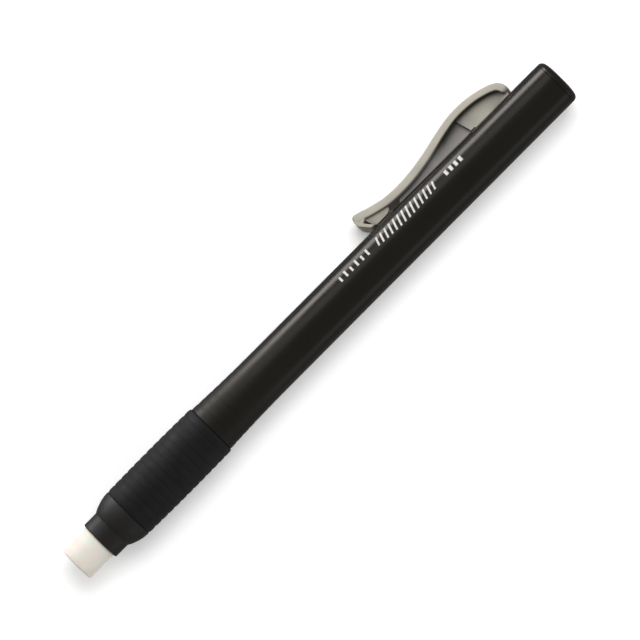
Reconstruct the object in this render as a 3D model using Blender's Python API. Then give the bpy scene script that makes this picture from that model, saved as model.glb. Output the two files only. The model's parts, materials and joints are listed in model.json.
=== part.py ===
"""Click-action stick eraser with a pocket clip that is also its slider.

A round stick of white eraser runs in a pen-like barrel.  A sprung holder grips the
rear end of the stick, a carriage carries the holder along the bore, and the pocket
clip rocks on a pin in the carriage.  The clip's pawl sits in a rack moulded inside
the barrel: pushed forward it rides over the teeth click by click, and pressing the
clip's rear end frees it so that the stick can be drawn back.

Frame: X runs along the pen, tip at -X, and the origin is the middle of the tail's
flat end.  +Z is up with the pen lying on a table, rolled until its clip touches.
All sizes below are in millimetres and are scaled to metres when meshes are made.
"""
import math

import bmesh
import bpy
from mathutils import Matrix, Vector

MM = 0.001
ROUND_STEPS = 48            # facets around every round piece
SMALL_STEPS = 24            # facets around the pin and its holes
FIT = 0.05                  # gap between two pieces that are pushed together for good
RUN = 0.10                  # radial gap between two pieces that slide on each other

# Lengths along the pen, which add up from the flat end of the tail to the tip
TAIL_CAP_LENGTH = 1.3
SPIGOT_LENGTH = 1.6
STOP_GAP = 0.3              # carriage to tail plug with the eraser drawn right in
CARRIAGE_LENGTH = 31.35
HOLDER_FLOOR = 1.55
ERASER_LENGTH = 80.0
ERASER_SHOWN = 6.0          # eraser that stands out of the nose at rest
NOSE_LENGTH = 7.15
GRIP_LENGTH = 20.85
CLIP_DROOP = math.radians(20.0)   # roll about X that lays the clip on the table

# Eraser stick and its holder
ERASER_R = 3.5
ERASER_SQUEEZE = 0.23       # how far the jaws press into the stick
GRIPPED_LENGTH = 7.75
GUIDE_GAP = 0.08            # eraser to nose bore
JAW_GAP = 0.03
JAW_WALL = 0.5
JAW_SLIT = 0.7
JAW_BEVEL = 0.15
STICK_RAMP = 0.2            # length over which the stick narrows into the jaws
JAW_ROOT = 1.0              # unslit length left in front of the holder's floor
STEM_R = 2.0
STEM_LENGTH = 3.0

# Walls of the barrel, grip and nose
BARREL_WALL = 0.65
NECK_WALL = 0.5
NECK_INTO_NOSE = 1.85
SHOULDER_STEP = 0.525       # shoulder over the neck
FLARE_LENGTH = 15.0
GRIP_WALL = 0.75
GRIP_SWELL = 0.1
NOSE_WALL = 0.42
NOSE_COLLAR_LENGTH = 2.9
NOSE_BACK_STEP = 0.77       # back of the nose cone over the neck

# Click travel
CLICK = 1.2                 # rack pitch
CLICKS_BACK = 5
CLICKS_FORWARD = 31

# Carriage
WAIST_DEPTH = 0.6
CARRIAGE_LAND = 5.0
CHANNEL_LENGTH = 10.1
CHANNEL_SIDE_GAP = 0.3
CHANNEL_END_WALL = 0.7
SPRING_SPACE = 3.1

# Clip, its pivot and its pawl
PIVOT_FROM_REAR = 7.3
PIVOT_DEPTH = 1.7           # below the bore's wall
PIN_R = 0.5
BOSS_R = 1.2
ARM_HALF_WIDTH = 2.1
ARM_THICKNESS = 1.58
ARM_AHEAD = 26.9            # clip tip, web and foot, ahead of or behind the pivot
WEB_AHEAD = 19.6
WEB_BEHIND = 8.0
FOOT_AHEAD = 22.0
FOOT_LEDGE = 0.5            # foot wider than the web, on each side
FOOT_GAP = 0.1
WEB_HALF = 1.0
WEB_GAP = 0.15
REAR_GAP = 0.5              # room for the clip's rear end to be pressed down
SLOT_GAP = 0.2
NECK_LENGTH = 6.2
NECK_AHEAD = 0.7
WING_LEDGE = 0.4            # how far each side of the pawl reaches past the slot
WING_THICK = 1.05
WING_DEPTH = 0.35           # below the bore's wall
RACK_DEPTH = 0.2
CREST_DEPTH = 0.16          # below the bore's wall
PAWL_TEETH = 2

# Clip spring
WIRE_R = 0.16
COIL_R = 0.85
COIL_TURNS = 4.5

# Radii, worked out from the eraser outwards
GRIPPED_R = ERASER_R - ERASER_SQUEEZE
SLIDER_R = GRIPPED_R + JAW_GAP + JAW_WALL
BORE_R = SLIDER_R + RUN
BARREL_R = BORE_R + BARREL_WALL
NECK_R = BORE_R + NECK_WALL
SHOULDER_R = NECK_R + SHOULDER_STEP
GRIP_END_R = NECK_R + FIT + GRIP_WALL
NOSE_BACK_R = NECK_R + NOSE_BACK_STEP
NOSE_COLLAR_R = ERASER_R + GUIDE_GAP + NOSE_WALL
SPIGOT_R = BORE_R - FIT
SLOT_HALF = WEB_HALF + SLOT_GAP
WING_HALF = SLOT_HALF + WING_LEDGE
CHANNEL_HALF = WING_HALF + CHANNEL_SIDE_GAP

# Heights from the axis towards the clip
PIVOT_Y = BORE_R - PIVOT_DEPTH
WING_TOP_Y = BORE_R - WING_DEPTH
WING_BOTTOM_Y = WING_TOP_Y - WING_THICK
RACK_CREST_Y = BORE_R - CREST_DEPTH
CHANNEL_FLOOR_Y = WING_BOTTOM_Y - SPRING_SPACE

# Places along X, worked out from the tail forwards
TRAVEL_BACK = CLICK * CLICKS_BACK
TRAVEL_FORWARD = CLICK * CLICKS_FORWARD
BARREL_END_X = -TAIL_CAP_LENGTH - FIT
TAIL_STOP_X = -TAIL_CAP_LENGTH - SPIGOT_LENGTH
CARRIAGE_REAR_X = TAIL_STOP_X - STOP_GAP - TRAVEL_BACK
CARRIAGE_FRONT_X = CARRIAGE_REAR_X - CARRIAGE_LENGTH
HOLDER_REAR_X = CARRIAGE_FRONT_X - FIT
HOLDER_FLOOR_X = HOLDER_REAR_X - HOLDER_FLOOR
ERASER_REAR_X = HOLDER_FLOOR_X - FIT
ERASER_FRONT_X = ERASER_REAR_X - ERASER_LENGTH
NOSE_FRONT_X = ERASER_FRONT_X + ERASER_SHOWN
NOSE_REAR_X = NOSE_FRONT_X + NOSE_LENGTH
NECK_FRONT_X = NOSE_REAR_X - NECK_INTO_NOSE
GRIP_FRONT_X = NOSE_REAR_X + FIT
GRIP_REAR_X = GRIP_FRONT_X + GRIP_LENGTH
SHOULDER_X = GRIP_REAR_X + FIT
PIVOT_X = CARRIAGE_REAR_X - PIVOT_FROM_REAR
NECK_AHEAD_X = PIVOT_X - NECK_AHEAD
NECK_BACK_X = NECK_AHEAD_X + NECK_LENGTH
SLOT_FRONT_X = NECK_AHEAD_X - TRAVEL_FORWARD - 2.5 * SLOT_GAP
PAWL_BACK_X = CARRIAGE_REAR_X - CHANNEL_END_WALL - CHANNEL_SIDE_GAP
RACK_START_X = PAWL_BACK_X + TRAVEL_BACK
RACK_TEETH = CLICKS_BACK + CLICKS_FORWARD + PAWL_TEETH + 1


def material(name, colour, roughness, metallic=0.0, alpha=1.0):
    """Return a Principled material for one piece."""
    mat = bpy.data.materials.new(name)
    mat.use_nodes = True
    shader = mat.node_tree.nodes["Principled BSDF"]
    shader.inputs["Base Color"].default_value = (*colour, 1.0)
    shader.inputs["Roughness"].default_value = roughness
    shader.inputs["Metallic"].default_value = metallic
    shader.inputs["Alpha"].default_value = alpha
    return mat


def empty(name, parent=None, at=(0.0, 0.0, 0.0)):
    """Add an empty, placed in millimetres in its parent's frame."""
    holder = bpy.data.objects.new(name, None)
    holder.empty_display_size = 0.005
    holder.parent = parent
    holder.location = Vector(at) * MM
    bpy.context.scene.collection.objects.link(holder)
    return holder


def finish(bm, name, parent, axis_at=(0.0, 0.0, 0.0), mat=None):
    """Turn millimetre geometry in the pen's frame into an object whose origin is axis_at."""
    bmesh.ops.remove_doubles(bm, verts=bm.verts, dist=1e-5)
    bmesh.ops.recalc_face_normals(bm, faces=bm.faces)
    bmesh.ops.transform(bm, matrix=Matrix.Translation(-Vector(axis_at)), verts=bm.verts)
    bmesh.ops.scale(bm, vec=(MM, MM, MM), verts=bm.verts)
    mesh = bpy.data.meshes.new(name)
    bm.to_mesh(mesh)
    bm.free()
    mesh.shade_smooth()
    mesh.set_sharp_from_angle(angle=math.radians(35.0))
    if mat:
        mesh.materials.append(mat)
    obj = bpy.data.objects.new(name, mesh)
    obj.parent = parent
    bpy.context.scene.collection.objects.link(obj)
    return obj


def turned(outline, steps=ROUND_STEPS):
    """Spin a closed outline of (x, radius) points once around the pen's axis."""
    bm = bmesh.new()
    verts = [bm.verts.new((x, r, 0.0)) for x, r in outline]
    edges = [bm.edges.new((a, b)) for a, b in zip(verts, verts[1:] + verts[:1])]
    bmesh.ops.spin(bm, geom=verts + edges, cent=(0, 0, 0), axis=(1, 0, 0),
                   angle=math.tau, steps=steps, use_merge=True)
    bmesh.ops.remove_doubles(bm, verts=bm.verts, dist=1e-5)
    loose = [e for e in bm.edges if not e.link_faces]
    bmesh.ops.delete(bm, geom=loose, context="EDGES")
    return bm


def prism(outline, low_z, high_z):
    """Extrude a closed outline of (x, y) points from low_z to high_z."""
    bm = bmesh.new()
    face = bm.faces.new([bm.verts.new((x, y, low_z)) for x, y in outline])
    side = bmesh.ops.extrude_face_region(bm, geom=[face])["geom"]
    moved = [v for v in side if isinstance(v, bmesh.types.BMVert)]
    bmesh.ops.translate(bm, vec=(0, 0, high_z - low_z), verts=moved)
    return bm


def block(low, high):
    """A box between two corners."""
    corners = [(low[0], low[1]), (high[0], low[1]), (high[0], high[1]), (low[0], high[1])]
    return prism(corners, low[2], high[2])


def disc_points(centre, radius, steps):
    """Points of a circle in the XY plane."""
    turns = [math.tau * (i + 0.5) / steps for i in range(steps)]
    return [(centre[0] + radius * math.cos(a), centre[1] + radius * math.sin(a)) for a in turns]


def arc(centre, radius, start, end, steps):
    """Points along an arc in the XY plane, angles in degrees."""
    spans = [math.radians(start + (end - start) * i / steps) for i in range(steps + 1)]
    return [(centre[0] + radius * math.cos(a), centre[1] + radius * math.sin(a)) for a in spans]


def combine(target, tools, operation, axis_at=(0.0, 0.0, 0.0)):
    """Boolean each tool's geometry with the target; the tools stay as hidden guides."""
    for number, bm in enumerate(tools):
        guide = finish(bm, f"{target.name}_{operation.lower()}_{number}", target.parent, axis_at)
        guide.hide_render = True
        guide.display_type = "WIRE"
        modifier = target.modifiers.new(guide.name, "BOOLEAN")
        modifier.operation = operation
        modifier.solver = "EXACT"
        modifier.object = guide
    return target


def rack_outline(back_x, teeth, low_y, crest_y):
    """A sawtooth from back_x forwards, each tooth steep on its tail side."""
    points = [(back_x, low_y)]
    for i in range(teeth):
        x = back_x - CLICK * i
        points += [(x, crest_y + RACK_DEPTH), (x - CLICK, crest_y)]
    return points + [(back_x - CLICK * teeth, low_y)]


def make_barrel(root):
    """The tube: bore, flare, shoulder and neck, with the clip's slot and the rack cut in."""
    flare = []
    for i in range(7):
        share = 1 - i / 6
        radius = BARREL_R + (SHOULDER_R - BARREL_R) * share ** 2
        flare.append((SHOULDER_X + FLARE_LENGTH * (1 - share), radius))
    outline = [(NECK_FRONT_X, BORE_R), (NECK_FRONT_X, NECK_R - 0.1), (NECK_FRONT_X + 0.1, NECK_R),
               (SHOULDER_X, NECK_R)] + flare + [(BARREL_END_X, BARREL_R), (BARREL_END_X, BORE_R)]
    barrel = finish(turned(outline), "barrel", root,
                    mat=material("barrel_black", (0.012, 0.011, 0.010), 0.3))
    slot = block((SLOT_FRONT_X, 0.0, -SLOT_HALF), (1.0, BARREL_R + 1.0, SLOT_HALF))
    rack = prism(rack_outline(RACK_START_X, RACK_TEETH, 2.5, RACK_CREST_Y),
                 -WING_HALF - 0.15, WING_HALF + 0.15)
    return combine(barrel, [slot, rack], "DIFFERENCE")


def make_tail_plug(root):
    """The end plug, with a spigot in the bore and a key that closes the slot's open end."""
    corner = 1.1
    flat_r = 2.6
    rim = arc((-0.1 - corner, BARREL_R - corner), corner, 0, 90, 6)
    outline = [(TAIL_STOP_X, 0.0), (0.0, 0.0), (0.0, flat_r)] + rim
    outline += [(-TAIL_CAP_LENGTH, BARREL_R), (-TAIL_CAP_LENGTH, SPIGOT_R), (TAIL_STOP_X, SPIGOT_R)]
    plug = finish(turned(outline), "tail_plug", root,
                  mat=material("plug_black", (0.012, 0.011, 0.010), 0.3))
    key_half = SLOT_HALF - FIT
    key_top = math.sqrt((BARREL_R - FIT) ** 2 - key_half ** 2)
    key = block((TAIL_STOP_X, 2.0, -key_half), (-TAIL_CAP_LENGTH / 2, key_top, key_half))
    return combine(plug, [key], "UNION")


def make_grip(root):
    """The rubber sleeve on the barrel's neck."""
    inner = NECK_R + FIT
    edge = 0.12
    outer = []
    for i in range(9):
        share = i / 8
        x = GRIP_FRONT_X + edge + (GRIP_LENGTH - 2 * edge) * share
        outer.append((x, GRIP_END_R + GRIP_SWELL * math.sin(math.pi * share)))
    outline = [(GRIP_FRONT_X, inner), (GRIP_FRONT_X, GRIP_END_R - edge)] + outer
    outline += [(GRIP_REAR_X, GRIP_END_R - edge), (GRIP_REAR_X, inner)]
    return finish(turned(outline), "grip_sleeve", root,
                  mat=material("grip_rubber", (0.016, 0.016, 0.016), 0.75))


def make_nose(root):
    """The nose: a collar that guides the eraser, opening into a cone over the neck."""
    bore = ERASER_R + GUIDE_GAP
    socket = NECK_R + FIT
    floor_x = NECK_FRONT_X - FIT
    collar_back = NOSE_FRONT_X + NOSE_COLLAR_LENGTH
    cone_length = NOSE_REAR_X - collar_back
    cone = []
    for i in range(8):
        share = i / 7
        rise = math.sin(0.5 * math.pi * share ** 0.92)
        cone.append((collar_back + cone_length * share,
                     NOSE_COLLAR_R + (NOSE_BACK_R - NOSE_COLLAR_R) * rise))
    outline = [(NOSE_FRONT_X, bore), (NOSE_FRONT_X, NOSE_COLLAR_R - 0.2),
               (NOSE_FRONT_X + 0.2, NOSE_COLLAR_R)] + cone
    outline += [(NOSE_REAR_X, socket), (floor_x, socket), (floor_x, bore)]
    return finish(turned(outline), "nose_cone", root,
                  mat=material("nose_black", (0.014, 0.012, 0.011), 0.4))


def make_eraser(refill_axis):
    """The eraser stick, its rear end squeezed where the jaws hold it."""
    soft = 0.35
    front = arc((ERASER_FRONT_X + soft, ERASER_R - soft), soft, 180, 90, 4)
    step_x = ERASER_REAR_X - GRIPPED_LENGTH
    outline = [(ERASER_FRONT_X, 0.0)] + front
    outline += [(step_x, ERASER_R), (step_x + STICK_RAMP, GRIPPED_R), (ERASER_REAR_X, GRIPPED_R),
                (ERASER_REAR_X, 0.0)]
    return finish(turned(outline), "eraser_stick", refill_axis,
                  mat=material("eraser_white", (0.80, 0.78, 0.73), 0.8))


def make_holder(feed_axis):
    """The four-jawed holder, with a stem that plugs into the carriage."""
    bore = GRIPPED_R + JAW_GAP
    front_x = ERASER_REAR_X - GRIPPED_LENGTH + STICK_RAMP + FIT
    stem_x = HOLDER_REAR_X + STEM_LENGTH
    outline = [(HOLDER_FLOOR_X, 0.0), (HOLDER_FLOOR_X, bore), (front_x, bore),
               (front_x, SLIDER_R - JAW_BEVEL), (front_x + 2 * JAW_BEVEL, SLIDER_R),
               (HOLDER_REAR_X, SLIDER_R), (HOLDER_REAR_X, STEM_R), (stem_x, STEM_R), (stem_x, 0.0)]
    holder = finish(turned(outline), "eraser_holder", feed_axis,
                    mat=material("holder_white", (0.62, 0.62, 0.58), 0.5))
    slit_back = HOLDER_FLOOR_X - JAW_ROOT
    half = JAW_SLIT / 2
    reach = SLIDER_R + 1.0
    slits = [block((front_x - 1.0, -reach, -half), (slit_back, reach, half)),
             block((front_x - 1.0, -half, -reach), (slit_back, half, reach))]
    return combine(holder, slits, "DIFFERENCE")


def make_carriage(feed_axis):
    """The slider in the bore: two round lands, a waist, and a channel for the clip's lever."""
    socket = STEM_R + FIT
    socket_end = CARRIAGE_FRONT_X + STEM_LENGTH
    waist_r = SLIDER_R - WAIST_DEPTH
    waist_front = CARRIAGE_FRONT_X + CARRIAGE_LAND
    channel_front = CARRIAGE_REAR_X - CHANNEL_END_WALL - CHANNEL_LENGTH
    waist_back = channel_front - CARRIAGE_LAND / 2
    outline = [(socket_end, 0.0), (socket_end, socket), (CARRIAGE_FRONT_X, socket),
               (CARRIAGE_FRONT_X, SLIDER_R), (waist_front, SLIDER_R),
               (waist_front + WAIST_DEPTH, waist_r), (waist_back - WAIST_DEPTH, waist_r),
               (waist_back, SLIDER_R), (CARRIAGE_REAR_X, SLIDER_R), (CARRIAGE_REAR_X, 0.0)]
    carriage = finish(turned(outline), "slider_carriage", feed_axis,
                      mat=material("carriage_grey", (0.30, 0.30, 0.28), 0.5))
    channel = block((channel_front, CHANNEL_FLOOR_Y, -CHANNEL_HALF),
                    (channel_front + CHANNEL_LENGTH, BORE_R + 1.0, CHANNEL_HALF))
    cross_hole = prism(disc_points((PIVOT_X, PIVOT_Y), PIN_R + FIT, SMALL_STEPS),
                       -BORE_R - 1.0, BORE_R + 1.0)
    return combine(carriage, [channel, cross_hole], "DIFFERENCE")


def make_pin(feed_axis):
    """The cross pin that the clip rocks on, short enough to stay inside the bore."""
    widest = SLIDER_R - FIT
    half = math.sqrt(widest ** 2 - (PIVOT_Y + PIN_R) ** 2)
    return finish(prism(disc_points((PIVOT_X, PIVOT_Y), PIN_R, SMALL_STEPS), -half, half),
                  "clip_pin", feed_axis, mat=material("pin_steel", (0.55, 0.55, 0.55), 0.3, 1.0))


def smooth_path(points, per_span):
    """Catmull-Rom curve through (x, y) points."""
    pts = [Vector(p) for p in points]
    pts = [2 * pts[0] - pts[1]] + pts + [2 * pts[-1] - pts[-2]]
    path = []
    for a, b, c, d in zip(pts, pts[1:], pts[2:], pts[3:]):
        for i in range(per_span):
            t = i / per_span
            path.append(0.5 * (2 * b + (c - a) * t + (2 * a - 5 * b + 4 * c - d) * t ** 2
                               + (3 * b - a - 3 * c + d) * t ** 3))
    return path + [pts[-2]]


def make_arm():
    """The clip's arm: a round-edged strap along a wavy path, rounded at both ends."""
    tip_x = PIVOT_X - ARM_AHEAD
    surface = BARREL_R
    route = [(tip_x, surface + 3.35), (tip_x + 2.7, surface + 2.45), (tip_x + 6.0, surface + 1.62),
             (tip_x + 9.4, surface + 1.42), (tip_x + 12.9, surface + 1.66),
             (tip_x + 16.9, surface + 2.36), (tip_x + 21.0, surface + 3.34),
             (tip_x + 25.2, surface + 3.98), (tip_x + 29.4, surface + 3.56),
             (tip_x + 32.6, surface + 2.86), (tip_x + 34.5, surface + 1.95),
             (tip_x + 35.0, surface + 1.2)]
    path = smooth_path(route, 4)
    bm = bmesh.new()
    rings = []
    lengths = [0.0]
    for a, b in zip(path, path[1:]):
        lengths.append(lengths[-1] + (b - a).length)
    for i, centre in enumerate(path):
        ahead = path[min(i + 1, len(path) - 1)] - path[max(i - 1, 0)]
        normal = Vector((-ahead.y, ahead.x)).normalized()
        from_end = min(lengths[i], lengths[-1] - lengths[i])
        roundness = min(1.0, (from_end + 0.35) / ARM_HALF_WIDTH)
        half_width = ARM_HALF_WIDTH * math.sqrt(1 - (1 - roundness) ** 2)
        half_thick = ARM_THICKNESS / 2 * (0.72 + 0.28 * min(1.0, from_end / 0.8))
        edge = 0.3
        section = [(half_width, half_thick - edge), (half_width - edge, half_thick),
                   (-half_width + edge, half_thick), (-half_width, half_thick - edge),
                   (-half_width, -half_thick + edge), (-half_width + edge, -half_thick),
                   (half_width - edge, -half_thick), (half_width, -half_thick + edge)]
        rings.append([bm.verts.new((centre.x + normal.x * v, centre.y + normal.y * v, z))
                      for z, v in section])
    for low, high in zip(rings, rings[1:]):
        for j in range(len(low)):
            k = (j + 1) % len(low)
            bm.faces.new((low[j], low[k], high[k], high[j]))
    bm.faces.new(rings[0])
    bm.faces.new(rings[-1][::-1])
    return bm, path


def make_clip(feed_axis):
    """Pocket clip: arm, foot, web, neck through the slot, boss on the pin, and pawl."""
    pivot = (PIVOT_X, PIVOT_Y, 0.0)
    clip_axis = empty("clip_pivot", feed_axis, pivot)
    arm, path = make_arm()
    clip = finish(arm, "pocket_clip", clip_axis, pivot,
                  material("clip_smoke", (0.42, 0.40, 0.35), 0.35))
    above = BARREL_R + WEB_GAP
    rear_x = PIVOT_X + WEB_BEHIND
    web_front = PIVOT_X - WEB_AHEAD
    rear_y = BARREL_R + REAR_GAP
    neck_low = WING_BOTTOM_Y + FIT
    under_arm = [(p.x, p.y) for p in path if web_front + 1.5 < p.x < rear_x]
    web = [(web_front, above)] + under_arm
    web += [(rear_x, rear_y), (NECK_BACK_X, rear_y), (NECK_BACK_X, neck_low),
            (NECK_AHEAD_X, neck_low), (NECK_AHEAD_X, above)]
    heel_x = PIVOT_X - FOOT_AHEAD
    sole = BARREL_R + FOOT_GAP
    foot = [(heel_x - 4.5, sole + 3.35), (heel_x - 5.35, sole + 2.45), (heel_x - 3.4, sole),
            (heel_x, sole), (heel_x + 1.2, sole + 1.1), (heel_x - 1.5, sole + 1.9)]
    wing_front = PAWL_BACK_X - PAWL_TEETH * CLICK
    lever = [(PIVOT_X, WING_BOTTOM_Y - 2 * SLOT_GAP), (wing_front, WING_BOTTOM_Y),
             (PAWL_BACK_X, WING_BOTTOM_Y), (PAWL_BACK_X, WING_TOP_Y), (PIVOT_X, WING_TOP_Y)]
    pawl = rack_outline(PAWL_BACK_X - FIT, PAWL_TEETH, WING_BOTTOM_Y, RACK_CREST_Y - FIT)
    boss = disc_points((PIVOT_X, PIVOT_Y), BOSS_R, SMALL_STEPS)
    tools = [prism(web, -WEB_HALF, WEB_HALF),
             prism(foot, -WEB_HALF - FOOT_LEDGE, WEB_HALF + FOOT_LEDGE),
             prism(boss, 0.01 - WEB_HALF, WEB_HALF - 0.01),
             prism(lever, 0.02 - WEB_HALF, WEB_HALF - 0.02),
             prism(pawl, -WING_HALF, WING_HALF)]
    combine(clip, tools, "UNION", pivot)
    hole = prism(disc_points((PIVOT_X, PIVOT_Y), PIN_R + FIT, SMALL_STEPS), -SLIDER_R, SLIDER_R)
    return combine(clip, [hole], "DIFFERENCE", pivot)


def make_spring(feed_axis):
    """The small coil spring that pushes the pawl into the rack."""
    centre_x = PAWL_BACK_X - PAWL_TEETH * CLICK / 2
    low = CHANNEL_FLOOR_Y + FIT + WIRE_R
    high = WING_BOTTOM_Y - FIT - WIRE_R
    steps = int(COIL_TURNS * 14)
    data = bpy.data.curves.new("clip_spring", "CURVE")
    data.dimensions = "3D"
    data.bevel_depth = WIRE_R * MM
    data.bevel_resolution = 1
    data.use_fill_caps = True
    line = data.splines.new("POLY")
    line.points.add(steps)
    for i, point in enumerate(line.points):
        share = i / steps
        turn = math.tau * COIL_TURNS * share
        climb = min(1.0, max(0.0, (share * COIL_TURNS - 0.75) / (COIL_TURNS - 1.5)))
        closed = 2 * WIRE_R * 1.15 * (min(share * COIL_TURNS, 0.75) - 0.75
                                      + max(share * COIL_TURNS - COIL_TURNS + 0.75, 0.0))
        y = low + 2 * WIRE_R * 1.15 * 0.75 + (high - low - 4 * WIRE_R * 1.15 * 0.75) * climb + closed
        place = Vector((centre_x + COIL_R * math.cos(turn), y, COIL_R * math.sin(turn))) * MM
        point.co = (*place, 1.0)
    data.materials.append(material("spring_steel", (0.50, 0.50, 0.52), 0.3, 1.0))
    spring = bpy.data.objects.new("clip_spring", data)
    spring.parent = feed_axis
    bpy.context.scene.collection.objects.link(spring)
    return spring


def main():
    """Clear the scene and build every piece."""
    for old in list(bpy.data.objects):
        bpy.data.objects.remove(old, do_unlink=True)
    root = empty("pen_axis")
    root.rotation_euler = (-CLIP_DROOP, 0.0, 0.0)
    make_barrel(root)
    make_tail_plug(root)
    make_grip(root)
    make_nose(root)
    feed_axis = empty("feed_axis", root)
    make_carriage(feed_axis)
    make_holder(feed_axis)
    make_pin(feed_axis)
    make_spring(feed_axis)
    make_clip(feed_axis)
    make_eraser(empty("refill_axis", feed_axis))


main()
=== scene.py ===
"""Looks of a click-action stick eraser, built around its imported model.

Every piece is made in the pen's own frame, in millimetres: X along the pen with the tip at -X
and the flat end of the tail at 0, Y towards the pocket clip, Z across it.  The pen lies rolled on
the table so that its clip droops, and `Workshop` turns that frame into the row frame in metres.
"""
from __future__ import annotations

import json
import logging
import math
from dataclasses import dataclass, field, replace
from enum import Enum
from functools import cached_property
from typing import Iterable, Sequence

import bmesh
import bpy
from mathutils import Matrix, Vector

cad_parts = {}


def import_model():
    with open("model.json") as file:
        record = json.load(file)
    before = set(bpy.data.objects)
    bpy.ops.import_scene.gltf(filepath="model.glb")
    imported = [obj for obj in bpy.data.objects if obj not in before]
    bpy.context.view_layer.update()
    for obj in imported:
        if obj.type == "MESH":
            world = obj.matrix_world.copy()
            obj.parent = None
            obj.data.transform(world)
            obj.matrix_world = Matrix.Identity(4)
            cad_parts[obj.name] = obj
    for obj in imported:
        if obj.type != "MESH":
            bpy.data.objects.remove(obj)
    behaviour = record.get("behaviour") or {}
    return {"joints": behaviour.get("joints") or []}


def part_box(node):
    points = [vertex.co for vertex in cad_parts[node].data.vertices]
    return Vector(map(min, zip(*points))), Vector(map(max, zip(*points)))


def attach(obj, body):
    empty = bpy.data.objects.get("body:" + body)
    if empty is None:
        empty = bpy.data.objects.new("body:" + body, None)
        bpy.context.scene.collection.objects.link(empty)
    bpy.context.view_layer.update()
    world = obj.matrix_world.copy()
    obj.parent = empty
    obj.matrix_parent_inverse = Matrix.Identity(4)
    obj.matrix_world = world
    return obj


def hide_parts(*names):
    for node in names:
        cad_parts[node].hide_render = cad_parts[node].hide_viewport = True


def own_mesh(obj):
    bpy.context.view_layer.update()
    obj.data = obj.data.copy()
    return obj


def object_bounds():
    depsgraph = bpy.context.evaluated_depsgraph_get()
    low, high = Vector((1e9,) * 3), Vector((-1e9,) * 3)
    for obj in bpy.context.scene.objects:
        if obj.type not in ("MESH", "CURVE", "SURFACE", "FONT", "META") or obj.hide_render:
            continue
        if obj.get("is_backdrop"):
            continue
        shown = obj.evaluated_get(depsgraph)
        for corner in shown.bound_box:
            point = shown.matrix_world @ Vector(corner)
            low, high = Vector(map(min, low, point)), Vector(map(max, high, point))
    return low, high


LOG = logging.getLogger("click_eraser")
MM = 0.001
Point = tuple[float, float]
Corner = tuple[float, float, float]
Mark = tuple[float, float, float, float, float]
Colour = tuple[float, float, float]
Socket = bpy.types.NodeSocket
Piece = bpy.types.Object
Mesh = bmesh.types.BMesh
Vert = bmesh.types.BMVert


class Grain(Enum):
    """How a finish's fine relief runs: its scale along each axis."""

    PEBBLE = (1.0, 1.0, 1.0)
    DRAWN = (0.04, 1.0, 1.0)
    SATIN = (0.35, 1.0, 1.0)


class Operation(Enum):
    """The solid operations that the workshop uses."""

    CUT = "DIFFERENCE"
    JOIN = "UNION"


class Graph:
    """The nodes of one material, and the steps that the finishes are made of."""

    def __init__(self, material: bpy.types.Material) -> None:
        """Start from the material's own shader, its object coordinates and its normal."""
        material.use_nodes = True
        self.nodes = material.node_tree.nodes
        self.links = material.node_tree.links
        coords = self.nodes.new("ShaderNodeTexCoord").outputs
        self.place: Socket = coords["Object"]
        self.normal: Socket = coords["Normal"]

    def feed(self, node: bpy.types.Node, inputs: dict[str | int, object]) -> None:
        """Link each input to a socket, or set it to a plain value."""
        for name, value in inputs.items():
            if isinstance(value, Socket):
                self.links.new(value, node.inputs[name])
            else:
                node.inputs[name].default_value = value

    def step(self, kind: str, output: str, inputs: dict[str | int, object], **settings: object) -> Socket:
        """Add one node.

        Args:
            kind: the node's type.
            output: the name of the output to use.
            inputs: sockets or plain values, by the input's name or number.
            **settings: the node's own settings.

        Returns:
            The output's socket.
        """
        node = self.nodes.new("ShaderNode" + kind)
        for name, setting in settings.items():
            setattr(node, name, setting)
        self.feed(node, inputs)
        return node.outputs[output]

    def noise(self, vector: Socket, size_mm: float, detail: float) -> Socket:
        """Return noise whose features are about size_mm across."""
        scale = 1.0 / (size_mm * MM)
        return self.step("TexNoise", "Fac", {"Scale": scale, "Detail": detail, "Vector": vector})

    def span(self, value: Socket, low: float, high: float, start: float = 0.3, end: float = 0.7) -> Socket:
        """Map a value's span start..end to low..high, clamped."""
        return self.step("MapRange", "Result", {"Value": value, "From Min": start, "From Max": end,
                                                "To Min": low, "To Max": high})

    def over(self, mask: Socket, below: Socket | Colour, above: Colour) -> Socket:
        """Lay a plain colour over another where the mask is one."""
        below = below if isinstance(below, Socket) else (*below, 1.0)
        return self.step("Mix", "Result", {"Factor": mask, "A": below, "B": (*above, 1.0)}, data_type="RGBA")

    def math(self, operation: str, *values: Socket) -> Socket:
        """Return the result of one sum on one or two values."""
        return self.step("Math", "Value", dict(enumerate(values)), operation=operation)

    def both(self, first: Socket, second: Socket) -> Socket:
        """Return a mask that holds where both masks do."""
        return self.math("MULTIPLY", first, second)

    @cached_property
    def station(self) -> Socket:
        """Return the station along the pen, in metres."""
        return self.step("SeparateXYZ", "X", {"Vector": self.place})

    def along(self, low: float, high: float, start_mm: float, end_mm: float) -> Socket:
        """Map the pen's length between two stations to low..high, clamped."""
        return self.span(self.station, low, high, start_mm * MM, end_mm * MM)

    def reach(self, vector: Socket, way: Colour) -> Socket:
        """Return how far a vector reaches along a direction."""
        return self.step("VectorMath", "Value", {0: vector, 1: way}, operation="DOT_PRODUCT")


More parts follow.
